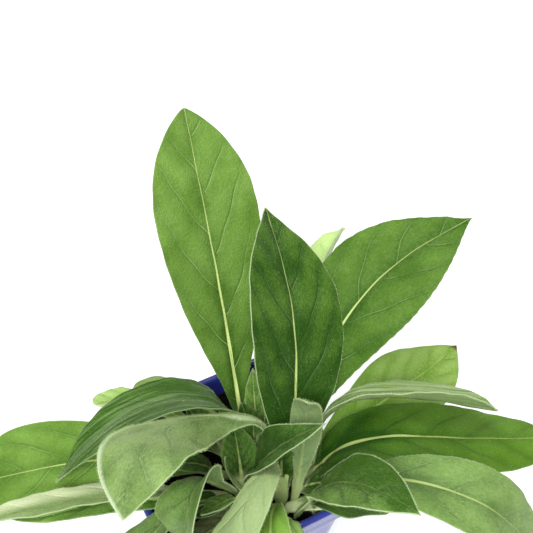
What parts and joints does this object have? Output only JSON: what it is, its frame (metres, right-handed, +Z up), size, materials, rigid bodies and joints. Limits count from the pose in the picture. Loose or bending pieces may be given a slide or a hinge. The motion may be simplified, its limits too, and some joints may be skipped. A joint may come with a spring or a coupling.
{
  "type": "potted cornflower",
  "caption": "Young leafy perennial cornflower clump, not in flower, growing in potting mix in a small square plastic nursery pot.",
  "frame": {"origin": "middle of the flat underside of the pot, on the surface that it stands on", "axes": "+Z up; X and Y square to the pot's flat walls; the pictured side of the plant faces between -X and -Y"},
  "size_m": [0.2529, 0.2055, 0.2075],
  "materials": {
    "pot_plastic": "smooth royal-blue nursery pot plastic, slightly glossy",
    "potting_mix": "moist dark brown peat mix, crumbly",
    "leaf": "mid green leaf with pale veins and fine hairs",
    "deep_leaf": "deep green leaf with pale midrib and hairy margin",
    "hairy_leaf": "grey-green leaf with a felt of white hairs",
    "pale_leaf": "light yellowish green leaf with small pale specks",
    "old_leaf": "old leaf, olive going brown"
  },
  "bodies": {
    "root": {"pot": "pot_plastic", "potting_mix": "potting_mix", "tall_back_leaf": "leaf", "upright_centre_leaf": "deep_leaf", "back_right_leaf": "deep_leaf", "narrow_back_leaf": "pale_leaf", "yellowing_right_leaf": "pale_leaf", "edge_on_right_leaf": "hairy_leaf", "broad_right_leaf": "deep_leaf", "front_right_leaf": "leaf", "low_right_leaf": "leaf", "under_right_leaf": "deep_leaf", "bent_young_leaf": "hairy_leaf", "dark_centre_leaf": "deep_leaf", "arching_left_leaf": "hairy_leaf", "arching_back_left_leaf": "leaf", "far_left_leaf": "leaf", "low_left_leaf": "hairy_leaf", "thin_left_leaf": "leaf", "small_back_left_leaf": "pale_leaf", "rolled_back_left_leaf": "hairy_leaf", "hairy_front_leaf": "hairy_leaf", "folded_front_left_leaf": "leaf", "green_front_leaf": "leaf", "front_corner_leaf": "pale_leaf", "left_corner_leaf": "leaf", "small_grey_leaf": "hairy_leaf", "dark_inner_leaf": "leaf", "old_brown_leaf": "old_leaf", "small_front_leaf": "hairy_leaf", "shaded_left_leaf": "deep_leaf", "young_back_shoot": "leaf"}
  },
  "joints": []
}
